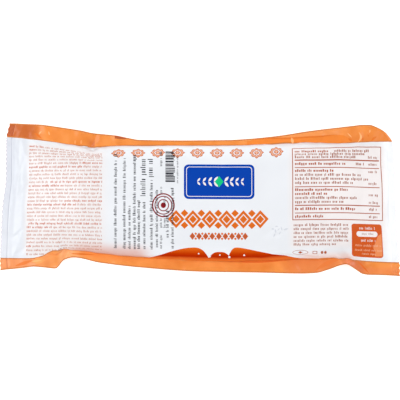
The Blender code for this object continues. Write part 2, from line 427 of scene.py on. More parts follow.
def front_relief(u, s, across):
    """How far the front's film stands off the loaf: slow waves, small wrinkles and creases."""
    x, y, offset = place_of(u, across)
    inward = HALF - np.abs(u)
    where = {
        "loaf": smooth_curve(x, FULLNESS),
        "near end": smooth_step(inward, *NEAR_END),
        "pucker": np.exp(-(((inward - PUCKER) / PUCKER_WIDTH) ** 2)),
        "flank": smooth_step(np.abs(s), *FLANK),
    }
    relief = waves(u, s, FRONT_WAVES, where) + soft_folds(u, s, CREASES)
    relief *= smooth_step(np.abs(across), 1, 0.94) * smooth_step(inward, CRIMP_WIDTH, CRIMP_WIDTH + 4)
    room = FURROW_SHARE * layer_gap(x, y, offset)
    return np.where(relief < 0, -room * np.tanh(-relief / room), relief)


# ---- the film's two layers

def film_form(u, across, front):
    """Points of the front or the back as both layers move together, without relief of their own."""
    x, y, offset = place_of(u, across)
    middle, off = layer(x, y, offset, front)
    return roll_corner(x, y, middle + shared_lift(u, across, x, y), off)


NORMAL_STEP = 0.6


def front_points(u, s, across):
    """The front's points, moved off its smooth form by its relief."""
    def beside(du, ds):
        return film_form(u + du, across_of(u + du, s + ds), True)
    along = beside(NORMAL_STEP, 0) - beside(-NORMAL_STEP, 0)
    over = beside(0, NORMAL_STEP) - beside(0, -NORMAL_STEP)
    normal = np.cross(along, over)
    normal /= np.linalg.norm(normal, axis=1)[:, None] + 1e-9
    return film_form(u, across, True) + normal * front_relief(u, s, across)[:, None]


# The seam along the back lies flat under the pack: its borders across, and how thick it is
SEAM = (-0.03, 0.13)
SEAM_STEP = 0.006
SEAM_DEPTH = 0.35


def back_points(u, across):
    """The back's points. The seam carries the belly, which lies just over the surface below it."""
    x, y, offset = place_of(u, across)
    points = film_form(u, across, False)
    inside = smooth_step(across, SEAM[0] - SEAM_STEP, SEAM[0])
    inside = inside * smooth_step(across, SEAM[1] + SEAM_STEP, SEAM[1])
    sealed = smooth_step(HALF - np.abs(u), CRIMP_WIDTH, CRIMP_WIDTH + 2)
    wrinkles = 0.3 * ripples(x, y, 22, 31) + 0.3 * ridges(x, y, 40, 32)
    loaf = smooth_step(np.abs(across), 0.98, 0.8)
    room = FURROW_SHARE * layer_gap(x, y, offset)
    points[:, 2] -= SEAM_DEPTH * inside * sealed
    points[:, 2] += room * np.tanh(np.abs(wrinkles) / room) * loaf * sealed * (1 - inside)
    points[:, 2] = np.maximum(points[:, 2], SEAM_DEPTH * (1 - inside))
    return points


# ---- the print, with painted shade and highlights

def turned_area(outline):
    """Twice the area of an outline, above zero if it runs against the clock."""
    return sum(u0 * s1 - u1 * s0 for (u0, s0), (u1, s1) in zip(outline, outline[1:] + outline[:1]))


class Print:
    """Flat coloured outlines on the film. A later one covers an earlier one."""

    def __init__(self):
        self.inks = []
        self.outlines = []

    def add(self, ink, outline):
        """Adds a closed outline, turned against the clock, with points added along its long sides."""
        if turned_area(outline) < 0:
            outline = outline[::-1]
        made = []
        for (u0, s0), (u1, s1) in zip(outline, outline[1:] + outline[:1]):
            steps = max(1, math.ceil(math.hypot(u1 - u0, s1 - s0) / EDGE_STEP))
            made += [(u0 + (u1 - u0) * i / steps, s0 + (s1 - s0) * i / steps) for i in range(steps)]
        self.inks.append(ink)
        self.outlines.append(made)


def rectangle(u0, s0, u1, s1):
    return [(u0, s0), (u1, s0), (u1, s1), (u0, s1)]


def rounded(u0, s0, u1, s1, radius, steps=6):
    """A rectangle with round corners."""
    outline = []
    for k, (u, s) in enumerate(rectangle(u0 + radius, s0 + radius, u1 - radius, s1 - radius), 2):
        for i in range(steps + 1):
            turn = math.pi / 2 * (k + i / steps)
            outline.append((u + radius * math.cos(turn), s + radius * math.sin(turn)))
    return outline


def oval(u, s, a, b, steps=28):
    turn = 2 * math.pi * np.arange(steps) / steps
    return list(zip(u + a * np.cos(turn), s + b * np.sin(turn)))


def lozenge(u, s, a, b):
    return [(u + a, s), (u, s + b), (u - a, s), (u, s - b)]


def strip(along, one, other):
    """The outline between two curves over the same places."""
    return list(zip(along, one)) + list(zip(along[::-1], other[::-1]))


def sliver(u0, s0, u1, s1, width, bow=0.0, steps=8):
    """An outline with two pointed ends, its middle moved aside by the bow."""
    start, run = np.array([u0, s0]), np.array([u1 - u0, s1 - s0])
    aside = np.array([-run[1], run[0]]) / np.hypot(*run)
    t = np.arange(steps + 1)[:, None] / steps
    one, other = (
        start + run * t + aside * (bow + side * width / 2) * np.sin(math.pi * t) for side in (1, -1))
    return [tuple(place) for place in np.vstack([one, other[-2:0:-1]])]


def ring(art, ink, line, u, s, a, b):
    """An oval line with white film inside."""
    art.add(ink, oval(u, s, a, b))
    art.add("white_film", oval(u, s, a - line, b - line))


# Small print: the height of its plain marks in mm, and their widths and gaps as shares of it
MARK_HEIGHT = 1.45
MARK_WIDTHS = (0.16, 0.34)
MARK_GAPS = (0.24, 0.40)
WORD_GAP = 0.75
# Some marks are taller, or reach below the line: by what share of the height, and how many of them
TALL_MARK, TALL_COUNT = 1.38, 0.26
DEEP_MARK, DEEP_COUNT = -0.32, 0.1


def line_of_marks(
    art, ink, start, length, draw, upright=False, height=MARK_HEIGHT, heavy=1.0, rise=0.0,
):
    """A line of small print as word-like runs of plain upright marks, from start along the film,
    rising by a share of its length, or across the film where upright."""
    at = 0.0
    while at < length:
        for _ in range(draw.randint(2, 10)):
            width = height * draw.uniform(*MARK_WIDTHS) * heavy
            form = draw.rand()
            low = DEEP_MARK * height if form < DEEP_COUNT else 0.0
            high = TALL_MARK * height if form > 1 - TALL_COUNT else height
            if at + width > length:
                break
            if upright:
                corners = rectangle(start[0] - high, start[1] + at, start[0] - low, start[1] + at + width)
            else:
                foot = start[1] + rise * at
                corners = rectangle(start[0] + at, foot + low, start[0] + at + width, foot + high)
            art.add(ink, corners)
            at += width + height * draw.uniform(*MARK_GAPS)
        at += height * WORD_GAP


# How far the block's rows leave an even pitch at their left and right ends: (row, mm)
ROWS_LEFT = ((0, -1.1), (6, 0.0), (26, 0.1), (29, -0.6))
ROWS_RIGHT = (
    (0, -3.3), (1, -1.5), (2, 0.2), (3, 1.6), (8, 1.3), (18, 1.0), (24, 0.5), (27, -0.6), (29, -1.4),
)
# The same block: its left and right ends, its first row and the pitch of its rows, the share of the
# last row that is printed, and the heavier stretches as shares of their rows: {row: (from, to)}
BLOCK_LEFT, BLOCK_RIGHT = -164.4, -91.4
FIRST_ROW, ROW_PITCH, ROWS = 50.9, 3.574, 30
LAST_ROW_SHARE = 0.24
HEAVY_PRINT = {
    0: (0.0, 0.22), 1: (0.0, 0.12), 5: (0.72, 1.0), 6: (0.0, 0.74), 10: (0.3, 1.0), 11: (0.0, 0.5),
    15: (0.5, 1.0), 16: (0.0, 0.7), 21: (0.02, 1.0), 22: (0.0, 0.3), 23: (0.0, 0.05), 25: (0.0, 0.05),
    27: (0.0, 0.08),
}


def small_print_block(art, draw):
    """Thirty lines of small print near the left end, with heavier stretches here and there."""
    width = BLOCK_RIGHT - BLOCK_LEFT
    for row in range(ROWS):
        left_end, right_end = smooth_curve(row, ROWS_LEFT), smooth_curve(row, ROWS_RIGHT)
        s, rise = FIRST_ROW - ROW_PITCH * row + left_end, (right_end - left_end) / width
        begin, stop = HEAVY_PRINT.get(row, (0.0, 0.0))
        end = LAST_ROW_SHARE if row == ROWS - 1 else 1.0
        for start, reach, bold in ((0.0, begin, False), (begin, stop, True), (stop, end, False)):
            if reach - start > 0.02:
                ahead, length = width * start, width * (reach - start) - 0.8
                ink, heavy = ("russet_ink", 1.7) if bold else ("tan_ink", 1.2)
                place = (BLOCK_LEFT + ahead, s + rise * ahead)
                line_of_marks(art, ink, place, length, draw, heavy=heavy, rise=rise)


def rosette_outline(u, s, a, b, steps=80):
    """Eight petals with notches between them. Those on the axes are pointed."""
    turn = 2 * math.pi * np.arange(steps) / steps
    from_axis = np.abs((turn + math.pi / 4) % (math.pi / 2) - math.pi / 4)
    reach = 0.74 + 0.20 * np.abs(np.cos(4 * turn)) ** 0.6 + 0.10 * np.maximum(0, 1 - from_axis / 0.2)
    return list(zip(u + a * reach * np.cos(turn), s + b * reach * np.sin(turn)))


ROSETTE_RINGS = (
    (1.0, "russet_ink"), (0.84, "peach_ink"), (0.66, "russet_ink"), (0.54, "white_film"),
    (0.38, "russet_ink"), (0.28, "peach_ink"),
)


def rosettes(art):
    """A row of nine line-drawn rosettes under the upper edge."""
    first, pitch = -77.1, 18.7
    for i in range(9):
        u, s, a, b = first + pitch * i, 48.8, 6.7, 5.6 + 0.1 * i
        for share, ink in ROSETTE_RINGS:
            art.add(ink, rosette_outline(u, s, a * share, b * share))
        for k in range(4):
            turn = math.pi / 4 + math.pi / 2 * k
            art.add("russet_ink", oval(u + 1.5 * math.cos(turn), s + 1.2 * math.sin(turn), 0.5, 0.45, 8))


def plaque(art):
    """A plain blue plaque with a fine pale line inside its edge, and plain leaves."""
    u0, u1, s0, s1 = -15.0, 51.6, 3.1, 36.1
    for ink, inset, radius in (("blue_ink", 0.0, 4.5), ("pale_ink", 2.2, 3.0), ("blue_ink", 2.8, 2.6)):
        art.add(ink, rounded(u0 + inset, s0 + inset, u1 - inset, s1 - inset, radius))
    u, s, turn = (u0 + u1) / 2, (s0 + s1) / 2, 0.9
    for side in (-1, 1):
        for k in range(4):
            stem, length = u + side * (5 + 5.2 * k), 6.2 - 0.6 * k
            ahead, up = length * math.cos(turn), side * length * math.sin(turn)
            for rise in (up, -up):
                art.add("pale_ink", sliver(stem, s, stem + ahead, s + rise, 0.4 * length))
    art.add("green_ink", lozenge(u, s, 4.2, 5.2))


def lozenge_row(art, count, left, right, s, half, gap, rings):
    """A row of lozenges made of rings, and small ones above and below the gaps."""
    pitch = (right - left) / count
    for i in range(count):
        u = left + pitch * (i + 0.5)
        for share, ink in rings:
            art.add(ink, lozenge(u, s, half[0] * share, half[1] * share))
        if i:
            for side in (-1, 1):
                art.add("orange_ink", lozenge(u - pitch / 2, s + side * 0.66 * half[1], *gap))


def ornament(art):
    """A bold row of lozenges and a finer one under it."""
    lined = ((1.0, "orange_ink"), (0.6, "white_film"), (0.46, "orange_ink"))
    lozenge_row(art, 6, -30.2, 65.0, -15.9, (7.9, 8.6), (3.6, 3.5), lined)
    lozenge_row(art, 9, -10.0, 46.0, -32.0, (2.7, 3.6), (1.3, 1.4), [(1.0, "russet_ink")])


# Upright lines of dark ink-jet print: (u, [(from s, to s, height and heaviness of the marks)])
JET_LINES = (
    (-78.4, ((-46.0, 40.5, 2.0, 1.5), (44.4, 48.0, 2.4, 2.0))),
    (-70.0, ((-46.5, 43.0, 2.0, 1.3),)),
    (-65.2, ((-46.5, -3.2, 1.9, 1.4),)),
    (-60.4, ((-46.5, 38.0, 2.0, 1.6), (38.8, 47.5, 2.4, 2.0))),
    (-56.4, ((-46.0, 2.0, 1.9, 1.6),)),
    (-51.2, ((-46.0, 0.6, 1.9, 1.5), (5.6, 41.5, 3.5, 1.0))),
    (-44.4, ((-46.0, 21.5, 2.0, 1.5), (23.6, 41.5, 3.5, 1.1))),
    (-39.4, ((-43.6, 12.0, 1.8, 1.4),)),
    (-35.6, ((-45.0, -31.0, 1.5, 1.2), (-24.0, -14.0, 1.5, 1.2))),
    (-35.6, ((8.0, 15.0, 1.5, 1.2), (34.0, 42.0, 1.7, 1.2), (44.6, 50.6, 2.0, 1.8))),
    (-32.2, ((-24.0, -12.0, 1.6, 1.2), (-3.0, 5.0, 1.6, 1.2))),
    (-29.2, ((-33.5, -5.0, 2.0, 1.5),)),
    (-24.6, ((-44.5, 13.5, 2.0, 1.5), (45.0, 49.5, 2.4, 2.0))),
    (-20.4, ((18.0, 46.0, 1.2, 1.0),)),
)


def jet_print(art, draw):
    for u, stretches in JET_LINES:
        for start, end, height, heavy in stretches:
            line_of_marks(art, "black_ink", (u, start), end - start, draw, True, height, heavy)


def striped_code(art, draw):
    """A patch of dark stripes of random widths, some of them a little shorter."""
    u0, u1, at, end = -32.4, -23.4, 19.1, 50.6
    stripe, gap, short, short_share = 0.50, 0.36, 1.2, 0.25
    while at < end - 0.4:
        width = stripe * draw.randint(1, 4)
        reach = u1 - (short if draw.rand() < short_share else 0.0)
        art.add("black_ink", rectangle(u0, at, reach, min(at + width, end)))
        at += width + gap * draw.randint(1, 3)


def stamp(art):
    """A stamped ring with two finer rings and a plain spot in it."""
    u, s = -34.3, -2.9
    for line, a, b in ((1.25, 10.8, 11.4), (0.95, 8.4, 8.9), (0.95, 5.4, 5.8)):
        ring(art, "red_ink", line, u, s, a, b)
    art.add("red_ink", oval(u, s, 2.5, 2.7, 16))


# The table of facts: its rules as (s, thickness), its lines of print as (s, from, to, whether bold) in
# shares of the lines' width, and its column of values
TABLE_RULES = ((38.6, 1.2), (31.3, 0.8), (13.1, 0.8), (-4.4, 0.95), (-11.6, 0.8))
TABLE_LINES = (
    (46.9, 0.0, 0.47, True), (46.9, 0.5, 0.96, False), (43.8, 0.0, 0.93, False), (40.6, 0.0, 0.78, False),
    (33.9, 0.0, 0.64, True), (27.2, 0.0, 0.5, True), (23.4, 0.0, 0.84, False), (19.6, 0.0, 0.94, False),
    (15.8, 0.0, 0.74, False), (9.2, 0.0, 0.69, True), (5.4, 0.0, 0.4, True), (1.6, 0.0, 0.8, False),
    (-2.2, 0.0, 0.62, False), (-8.8, 0.0, 0.76, True), (-15.9, 0.0, 0.37, True),
)
TABLE_VALUES = (40.6, 33.9, 26.8, 15.6, 4.8, -2.4, -8.8, -15.9)
TABLE_WIDTH = 76.0
TABLE_MARK = 1.8


def facts_table(art, draw):
    """A framed table of facts: rules, lines of small print and a column of values."""
    left, right, top, bottom = 87.4, 175.6, 52.2, -18.4
    line = 0.8
    for edge in (rectangle(left, bottom, left + line, top), rectangle(left, top - line, right, top),
                 rectangle(left, bottom, right, bottom + line)):
        art.add("brown_bold", edge)
    down = np.linspace(top, bottom, 30)
    wavy = right + 0.75 * np.sin((down - top) / 10.5) * np.exp(-(((down - 38) / 26) ** 2))
    art.add("brown_bold", [(u, s) for s, u in strip(down, wavy, wavy - line)])
    for s, thick in TABLE_RULES:
        art.add("brown_bold", rectangle(left + 2.4, s - thick / 2, right - 3.0, s + thick / 2))
    for s, begin, stop, bold in TABLE_LINES:
        ink, heavy = ("brown_bold", 2.7) if bold else ("brown_ink", 2.1)
        start, length = (left + 2.6 + TABLE_WIDTH * begin, s), TABLE_WIDTH * (stop - begin)
        line_of_marks(art, ink, start, length, draw, height=TABLE_MARK, heavy=heavy)
    values = [(right - 14.0, s, 9.0) for s in TABLE_VALUES] + [(right - 26.5, 33.9, 8.5)]
    for u, s, length in values:
        line_of_marks(art, "brown_ink", (u, s), length, draw, height=TABLE_MARK, heavy=1.7)


def address_lines(art, draw):
    for s, width in ((-24.0, 53), (-27.7, 53), (-31.5, 53), (-35.2, 53), (-39.0, 53), (-42.7, 41)):
        line_of_marks(art, "brown_ink", (88.6, s), width, draw, height=1.75, heavy=1.7)


def small_signs(art):
    """Three plain signs: an oval, a square and a pair of dots."""
    ink, s = "brown_bold", -50.6
    ring(art, ink, 0.5, 95.0, s, 7.4, 2.9)
    art.add(ink, lozenge(95.0, s, 2.2, 1.6))
    art.add(ink, rectangle(106.6, -52.2, 111.0, -48.8))
    art.add("white_film", rectangle(107.2, -51.6, 110.4, -49.4))
    for u in (115.6, 118.8):
        art.add(ink, oval(u, s, 1.2, 1.8, 12))


# The orange box's lines of print: ink, how far from its left side, s, length and height of the marks
BOX_LINES = (
    ("brown_ink", 10.0, -32.0, 12.0, MARK_HEIGHT), ("pale_ink", 7.6, -27.0, 16.0, 1.9),
    ("pale_ink", 9.0, -38.6, 14.0, 1.9), ("peach_ink", 3.4, -43.1, 25.0, MARK_HEIGHT),
    ("peach_ink", 3.0, -47.7, 26.0, MARK_HEIGHT), ("peach_ink", 9.6, -51.2, 13.0, MARK_HEIGHT),
)


def orange_box(art, draw):
    """A rounded orange box with a painted highlight on its right, a pale band and pale lines of small
    print.
    """
    left, right, bottom, top = 144.1, 174.0, -53.7, -21.7
    art.add("box_ink", rounded(left, bottom, right, top, 2.6))
    # Painted highlight on the box's lower right
    art.add("box_light", [
        (right - 0.7, -30.5), (right - 4.2, -32.8), (right - 9.3, -44.4), (right - 7.3, -47.4),
        (right - 7.9, -52.4), (right - 0.8, -52.1),
    ])
    art.add("white_film", rounded(left + 4.8, -33.9, right - 4.6, -28.7, 2.5))
    for ink, inset, s, length, height in BOX_LINES:
        line_of_marks(art, ink, (left + inset, s), length, draw, height=height)


# The hills of deeper orange along the lower edge: left foot, crest and right foot in u, the crest's s,
# and how round the left and the right flank are
HILLS = (
    (-54.0, -7.0, 11.0, -43.4, 1.7, 3.2),
    (6.0, 19.0, 32.0, -48.0, 3.0, 3.0),
    (25.0, 36.0, 104.0, -43.0, 3.2, 1.25),
)
HILL_FOOT, HILL_TOP, HILL_STEPS = -64.0, -42.0, 18
DROPS = ((9.5, -54.0, 1.3), (28.0, -54.2, 1.4), (19.0, -51.6, 0.9), (42.0, -52.0, 1.1), (-1.0, -50.4, 0.9))


def hills(art):
    """Three overlapping round hills and a few plain drops over them."""
    t = np.arange(-HILL_STEPS, HILL_STEPS + 1) / HILL_STEPS
    for left, crest, right, top, left_round, right_round in HILLS:
        u = crest + t * np.where(t < 0, crest - left, right - crest)
        rise = 1 - np.abs(t) ** np.where(t < 0, left_round, right_round)
        art.add("hill_ink", list(zip(u, HILL_FOOT + (top - HILL_FOOT) * rise)))
    for u, s, size in DROPS:
        art.add("white_film", oval(u, s, size * 0.8, size, 14))


# How wide the lines of painted shade along the film's long edges and along the white field are
EDGE_LINE = 1.1
OUTSIDE = 90.0


def bands(art):
    """The orange film above and below the white field, with a line of painted shade along both its
    borders.
    """
    along = np.linspace(-HALF - 3, HALF + 3, 260)
    for border, side in ((WHITE_TOP, 1), (WHITE_BOTTOM, -1)):
        white = smooth_curve(along, border)
        rim = s_of(along, np.full(len(along), float(side)))
        line = side * EDGE_LINE
        art.add("line_film", strip(along, white, np.full(len(along), side * OUTSIDE)))
        art.add("orange_film", strip(along, white + line, rim - line))


# The fold line along the upper fin: (u, s), and how wide the painted shadow beside it is
UPPER_FOLD = (
    (45, 68.0), (57, 70.3), (67, 70.8), (87, 69.9), (107, 70.3), (124, 69.6), (138, 66.0), (148, 57.6),
)
FOLD_SHADOW = 1.5
# Small pointed marks of painted light at folds: painted shade in deeper orange where the film turns
# away, painted highlights in paler orange where it shines, and painted grey shade where the white film
# is crumpled. Each has its two ends, its width and how far it bows aside
PAINTED_FOLD_LIGHT = {
    "rust_film": ((8.0, -64.8, 106.0, -64.4, 5.4), (149.6, -58.6, 160.6, -69.0, 1.8, 0.3)),
    "deep_film": (
        (142.5, 62.4, 146.6, 58.8, 2.2), (157.4, 61.8, 156.8, 57.4, 2.0),
        (165.4, 57.8, 171.8, 62.0, 2.2, 0.4), (162.4, 64.6, 162.8, 61.6, 1.1),
        (-160.3, 63.4, -152.0, 58.6, 2.2, 0.3), (-125.0, -57.0, -98.0, -62.5, 1.4, -0.6),
    ),
    "russet_film": ((-175.5, -63.6, -158.0, -58.2, 3.2), (109.0, -75.6, 133.6, -60.8, 3.8, 0.9)),
    "bright_film": (
        (-119.4, 62.8, -119.0, 67.0, 1.6), (-113.6, 64.8, -113.2, 69.0, 1.8),
        (-159.5, -59.4, -146.6, -59.2, 6.2, 0.3),
    ),
    "pale_film": (
        (-155.4, 62.0, -152.8, 65.8, 1.5, 0.4), (-145.8, 67.2, -144.6, 63.4, 1.2),
        (89.0, 63.6, 87.4, 69.8, 2.6), (151.2, 56.4, 152.8, 67.2, 2.0, -3.2),
        (141.6, 67.6, 146.2, 62.4, 1.0), (164.2, 65.2, 164.6, 68.9, 1.3),
        (-159.5, -59.8, -149.6, -59.2, 1.8, 0.3),
    ),
    "shade_film": (
        (70.8, -23.4, 74.1, -23.5, 1.2), (67.4, -25.6, 70.4, -26.0, 1.5), (71.1, -26.0, 71.7, -29.8, 1.6),
        (76.5, -23.8, 77.9, -28.0, 1.4), (78.8, -26.9, 83.7, -26.1, 1.6), (74.5, -31.8, 76.4, -28.8, 1.1),
        (69.4, -33.9, 71.3, -29.9, 1.2), (73.2, -27.6, 75.6, -25.2, 1.0),
    ),
}
# Painted shade where the film's edge turns away to the dark, on the upper fin
TURNED_EDGE_SHADE = ((-81.0, 78.0), (-81.2, 72.6), (-76.0, 71.5), (-71.0, 71.0), (-68.0, 74.0))


def paint_fold_light(art):
    """Painted shade and painted highlights, deeper and paler film, where it is folded or crumpled."""
    along = np.linspace(UPPER_FOLD[0][0], UPPER_FOLD[-1][0], 40)
    border, fold = smooth_curve(along, WHITE_TOP) + EDGE_LINE, smooth_curve(along, UPPER_FOLD)
    shadow = fold - FOLD_SHADOW * smooth_step(along, 45, 75) * smooth_step(along, 138, 110)
    # Painted shade of the loaf's steep side from the white field up to the fold, and a deeper painted
    # shadow along the fold
    art.add("tucked_film", strip(along, border, fold))
    art.add("deep_film", strip(along, shadow, fold))
    art.add("dark_film", list(TURNED_EDGE_SHADE))
    for ink, marks in PAINTED_FOLD_LIGHT.items():
        for mark in marks:
            art.add(ink, sliver(*mark))


def draw_print_and_painted_light(art):
    draw = np.random.RandomState(8)
    small_print_block(art, draw)
    bands(art)
    paint_fold_light(art)
    hills(art)
    rosettes(art)
    plaque(art)
    ornament(art)
    stamp(art)
    jet_print(art, draw)
    striped_code(art, draw)
    facts_table(art, draw)
    address_lines(art, draw)
    small_signs(art)
    orange_box(art, draw)


# ---- the mesh

def stations_along(cell):
    """Places along the film: fine at the crimped ends, widening to the given cell inwards."""
    places, at, step = [0.0], 0.0, CRIMP_CELL
    while at < HALF:
        if at > CRIMP_WIDTH + 1:
            step = min(step * 1.15, cell)
        at += step
        places.append(at)
    inward = np.array(places) * (HALF / places[-1])
    return np.concatenate([inward - HALF, (HALF - inward)[-2::-1]])


def film_outline(columns):
    """The film's edge as (u, across), against the clock: below, right, above, left."""
    across = np.linspace(-1, 1, 2 * TEETH + 1)
    cut = HALF - TOOTH_DEPTH * (np.arange(len(across)) % 2)
    below = [(u, -1.0) for u in columns[1:-1]]
    above = [(u, 1.0) for u in columns[-2:0:-1]]
    return below + list(zip(cut, across)) + above + list(zip(-cut[::-1], across[::-1]))


def inner_grid(columns, rows):
    """Where the columns and rows cross, clear of the cut ends: u and across of each place."""
    u, across = (a.ravel() for a in np.meshgrid(columns[1:-1], rows[1:-1]))
    clear = HALF - np.abs(u) > TOOTH_DEPTH + 0.2
    return u[clear], across[clear]


def clear_of(points, edges, cell=0.8):
    """Which points have no edge point in their own cell or the ones beside it."""
    def cells(p):
        return np.floor(p / cell).astype(int)
    taken = set()
    for i, j in cells(edges):
        taken.update(((i, j), (i + 1, j), (i - 1, j), (i, j + 1), (i, j - 1)))
    return np.array([(i, j) not in taken for i, j in cells(points)])


def cut_front(columns, rows, art):
    """The front as flat triangles of (u, s), cut along the print. Gives each vertex's (u, s, across),
    and each triangle's corners and ink."""
    outline = np.array(film_outline(columns))
    edge = np.column_stack([outline[:, 0], s_of(outline[:, 0], outline[:, 1])])
    grid_u, grid_across = inner_grid(columns, rows)
    grid = np.column_stack([grid_u, s_of(grid_u, grid_across)])
    printed = np.array([p for shape in art.outlines for p in shape])
    free = clear_of(grid, np.vstack([edge, printed]))
    coords = [Vector(p) for p in np.vstack([edge, printed, grid[free]])]
    known = np.concatenate([outline[:, 1], np.full(len(printed), np.nan), grid_across[free]])
    faces, start = [list(range(len(edge)))], len(edge)
    for shape in art.outlines:
        faces.append(list(range(start, start + len(shape))))
        start += len(shape)
    flat, _, triangles, sources, _, covers = delaunay_2d_cdt(coords, [], faces, 1, 1e-4, True)
    kept = [(t, max(c)) for t, c in zip(triangles, covers) if 0 in c]
    at = np.array([tuple(p) for p in flat])
    across = np.array([known[s[0]] if s else np.nan for s in sources])
    unknown = np.isnan(across)
    across[unknown] = across_of(at[unknown, 0], at[unknown, 1])
    inks = ["white_film"] + art.inks
    used = np.unique([t for t, _ in kept])
    place = {old: new for new, old in enumerate(used)}
    corners = [[place[v] for v in t] for t, _ in kept]
    return at[used], across[used], corners, [inks[top] for _, top in kept]


def boundary(corners, inks):
    """The vertices round the edge of a sheet of triangles, in order, and the ink at each of its sides."""
    pairs = {(t[i], t[(i + 1) % 3]): ink for t, ink in zip(corners, inks) for i in range(3)}
    follow = {a: b for a, b in pairs if (b, a) not in pairs}
    loop = [next(iter(follow))]
    while follow[loop[-1]] != loop[0]:
        loop.append(follow[loop[-1]])
    return loop, [pairs[a, follow[a]] for a in loop]


# The back's s: across in mm, far beyond the front's
ACROSS_SCALE = 72.0
BACK_START = 4 * HALF


def cut_back(edge_u, edge_across, columns, rows):
    """The back as flat triangles with the front's own edge. Its first vertices are that edge's."""
    edge = np.column_stack([edge_u, edge_across * ACROSS_SCALE])
    grid_u, grid_across = inner_grid(columns, rows)
    grid = np.column_stack([grid_u, grid_across * ACROSS_SCALE])
    free = clear_of(grid, edge, 0.5)
    coords = [Vector(p) for p in np.vstack([edge, grid[free]])]
    outline = [list(range(len(edge)))]
    _, _, triangles, sources, _, covers = delaunay_2d_cdt(coords, [], outline, 1, 1e-5, True)
    corners = [[sources[v][0] for v in t] for t, c in zip(triangles, covers) if c]
    u = np.concatenate([edge_u, grid_u[free]])
    across = np.concatenate([edge_across, grid_across[free]])
    return u, across, corners


def build_wrap():
    """The pack's film as one closed mesh: points, faces, the ink of each face, places on the film."""
    art = Print()
    draw_print_and_painted_light(art)
    columns, rows = stations_along(FRONT_CELL), places_across(FIN_CELLS, FRONT_ROWS, ROW_CROWDING)
    flat, across, faces, names = cut_front(columns, rows, art)
    front = front_points(flat[:, 0], flat[:, 1], across)
    loop, loop_inks = boundary(faces, names)
    columns, rows = stations_along(BACK_CELL), places_across(FIN_CELLS, BACK_ROWS, ROW_CROWDING)
    rows = np.sort(np.concatenate([rows, [SEAM[0] - SEAM_STEP, *SEAM, SEAM[1] + SEAM_STEP]]))
    back_u, back_across, back_faces = cut_back(flat[loop, 0], across[loop], columns, rows)
    points = np.vstack([front, back_points(back_u, back_across)])
    first = len(front)
    faces = faces + [[first + v for v in t[::-1]] for t in back_faces]
    names = names + ["orange_film"] * len(back_faces)
    for i, (a, ink) in enumerate(zip(loop, loop_inks)):
        j = (i + 1) % len(loop)
        faces += [[a, first + i, loop[j]], [loop[j], first + i, first + j]]
        names += [ink, ink]
    film = np.vstack([
        np.column_stack([flat, np.zeros(len(flat))]),
        np.column_stack([back_u, back_across * ACROSS_SCALE + BACK_START, np.ones(len(back_u))]),
    ])
    return points, faces, names, film


# ---- materials

def linear(red, green, blue):
    """A colour given as 0 to 255 in sRGB, as linear values."""
    parts = [c / 255 for c in (red, green, blue)]
    return tuple(p / 12.92 if p <= 0.04045 else ((p + 0.055) / 1.055) ** 2.4 for p in parts) + (1.0,)


# Plain inks: red, green and blue from 0 to 255, and roughness
INKS = {
    "tan_ink": (182, 112, 86, 0.42),
    "brown_ink": (160, 102, 84, 0.42),
    "brown_bold": (164, 84, 54, 0.42),
    "russet_ink": (184, 86, 46, 0.42),
    "peach_ink": (229, 174, 140, 0.42),
    "black_ink": (24, 26, 36, 0.50),
    "blue_ink": (0, 60, 160, 0.42),
    "green_ink": (18, 186, 120, 0.36),
    "pale_ink": (228, 222, 222, 0.36),
    "red_ink": (128, 20, 30, 0.45),
    "orange_ink": (208, 100, 26, 0.40),
    "box_ink": (199, 84, 30, 0.40),
    # Painted highlight on the orange box
    "box_light": (224, 134, 84, 0.40),
    # Painted shade at the film's edges, borders, creases and folds, then painted highlights (the last two)
    "dark_film": (178, 92, 52, 0.40),
    "line_film": (196, 121, 64, 0.40),
    "shade_film": (205, 207, 214, 0.34),
    "rust_film": (220, 106, 42, 0.40),
    "russet_film": (227, 124, 62, 0.40),
    "deep_film": (222, 116, 44, 0.40),
    "tucked_film": (234, 132, 54, 0.40),
    "bright_film": (246, 158, 92, 0.40),
    "pale_film": (250, 178, 118, 0.40),
}
FILM_GLOSS, INK_GLOSS = 0.3, 0.07
SHINE_SCALE, SHINE_CHANGE = 60.0, 0.08
CRINKLE_SCALE, CRINKLE_DEPTH = 420.0, 0.12


def feed(tree, node, inputs):
    """Links each named input to the socket given for it, or sets it to the value given."""
    for name, value in inputs.items():
        if isinstance(value, bpy.types.NodeSocket):
            tree.links.new(value, node.inputs[name])
        else:
            node.inputs[name].default_value = value


def put(tree, kind, inputs, **settings):
    """A new node with its settings and its inputs."""
    node = tree.nodes.new(kind)
    for name, value in settings.items():
        setattr(node, name, value)
    feed(tree, node, inputs)
    return node


def noise(tree, place, scale, detail):
    inputs = {"Vector": place, "Scale": scale, "Detail": detail}
    return put(tree, "ShaderNodeTexNoise", inputs).outputs["Fac"]


def ramp(tree, value, stops):
    """A colour that follows a value from 0 to 1 through stops: (value, colour)."""
    node = put(tree, "ShaderNodeValToRGB", {"Fac": value})
    elements = node.color_ramp.elements
    while len(elements) < len(stops):
        elements.new(0.5)
    for element, (at, colour) in zip(elements, stops):
        element.position, element.color = at, linear(*colour)
    return node.outputs["Color"]


